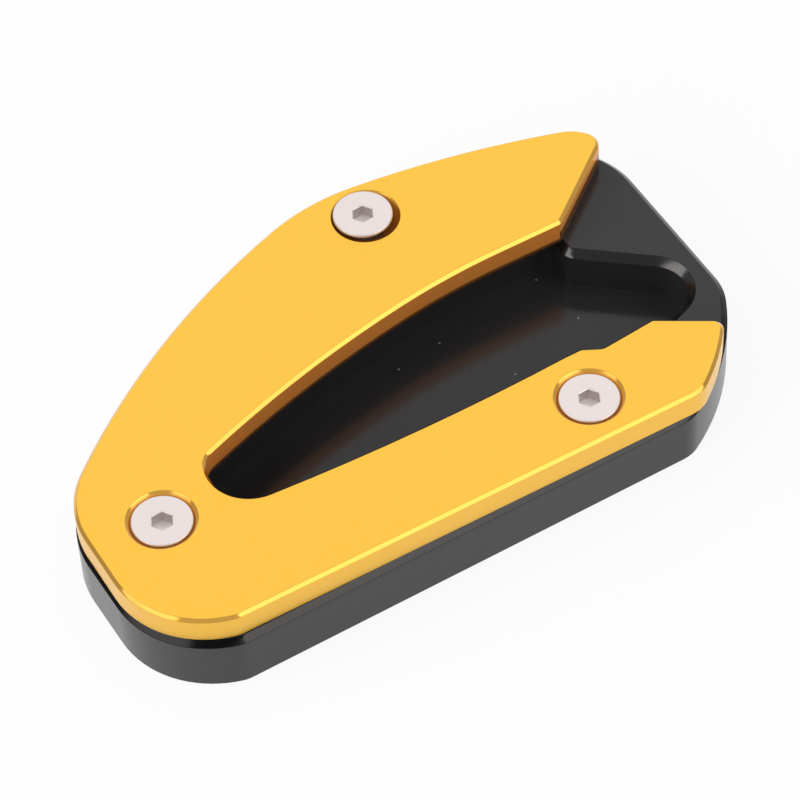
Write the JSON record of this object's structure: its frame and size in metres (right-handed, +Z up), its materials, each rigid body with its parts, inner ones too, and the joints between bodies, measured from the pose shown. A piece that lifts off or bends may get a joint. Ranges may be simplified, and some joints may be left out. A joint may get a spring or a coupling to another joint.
{
  "type": "kickstand foot enlarger",
  "caption": "Flat metal pad that widens a motorbike side stand's foot: a black base with a foot pocket and a gold crescent plate with a leg slot, screwed together.",
  "frame": {"origin": "bottom centre of the base plate, on the ground face", "axes": "+X along the straight front edge from the nose to the tail, +Y from the front edge to the crown, +Z up"},
  "size_m": [0.11, 0.0662, 0.0153],
  "materials": {
    "black_anodised": "satin black anodised",
    "gold_anodised": "satin gold anodised",
    "stainless": "plain satin"
  },
  "bodies": {
    "root": {"base_plate": "black_anodised", "top_plate": "gold_anodised", "plate_screws": "stainless"}
  },
  "joints": []
}
